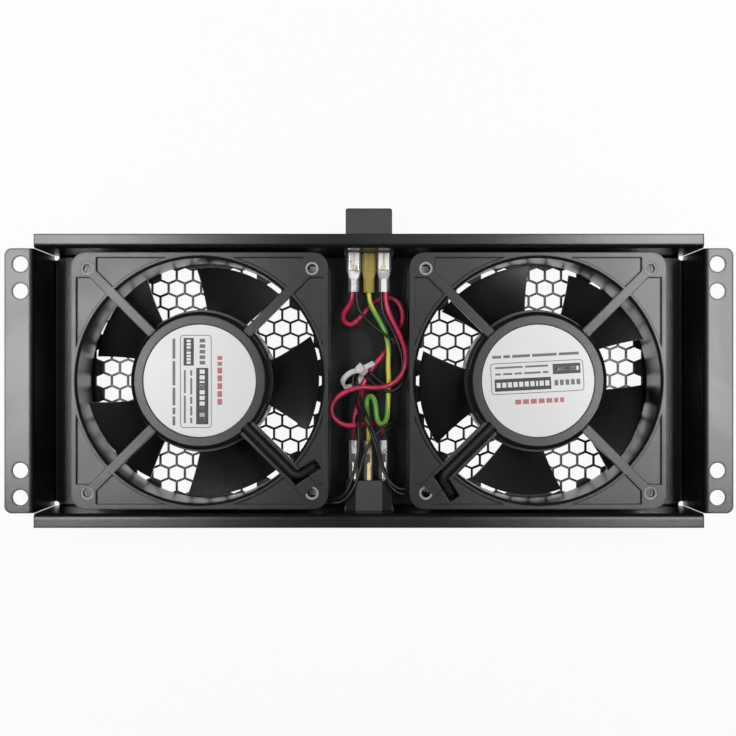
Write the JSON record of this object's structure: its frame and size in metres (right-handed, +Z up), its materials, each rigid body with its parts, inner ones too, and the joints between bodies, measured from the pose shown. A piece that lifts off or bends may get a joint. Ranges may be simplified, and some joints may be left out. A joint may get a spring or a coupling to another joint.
{
  "type": "rack fan tray",
  "caption": "Folded steel fan tray for the roof of a network cabinet: two mains axial fans over honeycomb vents, drilled mounting ears, and a wiring bay from a power inlet to an outlet.",
  "frame": {"origin": "middle of the floor underside, on the surface that the tray stands on", "axes": "+X along the tray, +Y across it towards the power inlet, +Z up, out of the open side"},
  "size_m": [0.337, 0.1497, 0.045],
  "materials": {
    "tie_nylon": "natural nylon",
    "wire_green_yellow": "green and yellow PVC insulation",
    "coupler_plastic": "dark grey nylon",
    "boot_clear": "clear PVC boot",
    "boot_yellow": "yellow PVC boot",
    "crimp_brass": "plain brass crimp",
    "contact_metal": "tinned brass",
    "crimp_tin": "tin-plated brass crimp",
    "bearing_bronze": "sintered bronze",
    "spring_steel": "spring steel",
    "fan_coat": "satin black paint on die-cast aluminium",
    "zinc_steel": "zinc-plated steel",
    "label_foil": "white printed foil",
    "impeller_plastic": "moulded glass-filled nylon",
    "wire_black": "black PVC insulation",
    "sleeve_black": "woven black sleeve",
    "cup_steel": "drawn steel, black paint",
    "core_steel": "laminated electrical steel",
    "shaft_steel": "ground steel",
    "coil_copper": "enamelled copper winding",
    "wire_red": "red PVC insulation",
    "pan_coat": "fine-textured black powder coat"
  },
  "bodies": {
    "tray": {"cable_tie": "tie_nylon", "earth_wire": "wire_green_yellow", "inlet_body": "coupler_plastic", "inlet_boots": "boot_clear", "inlet_earth_boot": "boot_yellow", "inlet_earth_receptacle": "crimp_brass", "inlet_pins": "contact_metal", "inlet_receptacles": "crimp_tin", "left_bearings": "bearing_bronze", "left_fan_frame": "fan_coat", "left_fan_nuts": "zinc_steel", "left_fan_screws": "zinc_steel", "left_hub_label": "label_foil", "left_lead_a": "wire_black", "left_lead_b": "wire_black", "left_lead_sleeve": "sleeve_black", "left_stator_coils": "coil_copper", "left_stator_core": "core_steel", "live_wire": "wire_red", "neutral_wire": "wire_red", "outlet_body": "coupler_plastic", "outlet_boots": "boot_clear", "outlet_contacts": "contact_metal", "outlet_earth_boot": "boot_yellow", "outlet_earth_receptacle": "crimp_brass", "outlet_receptacles": "crimp_tin", "right_bearings": "bearing_bronze", "right_fan_frame": "fan_coat", "right_fan_nuts": "zinc_steel", "right_fan_screws": "zinc_steel", "right_hub_label": "label_foil", "right_lead_a": "wire_black", "right_lead_b": "wire_black", "right_lead_sleeve": "sleeve_black", "right_stator_coils": "coil_copper", "right_stator_core": "core_steel", "tray_pan": "pan_coat"},
    "left_rotor": {"left_rotor_shaft": "shaft_steel", "left_circlip": "spring_steel", "left_rotor_cup": "cup_steel", "left_rotor_ring": "core_steel", "left_impeller": "impeller_plastic"},
    "right_rotor": {"right_rotor_shaft": "shaft_steel", "right_circlip": "spring_steel", "right_rotor_cup": "cup_steel", "right_rotor_ring": "core_steel", "right_impeller": "impeller_plastic"}
  },
  "joints": [
    {"name": "left_fan_spin", "type": "hinge", "parent": "tray", "child": "left_rotor", "pos_m": [-0.079, 0, 0.02], "axis": [0, 0, 1], "continuous": true},
    {"name": "right_fan_spin", "type": "hinge", "parent": "tray", "child": "right_rotor", "pos_m": [0.079, 0, 0.02], "axis": [0, 0, 1], "continuous": true}
  ]
}
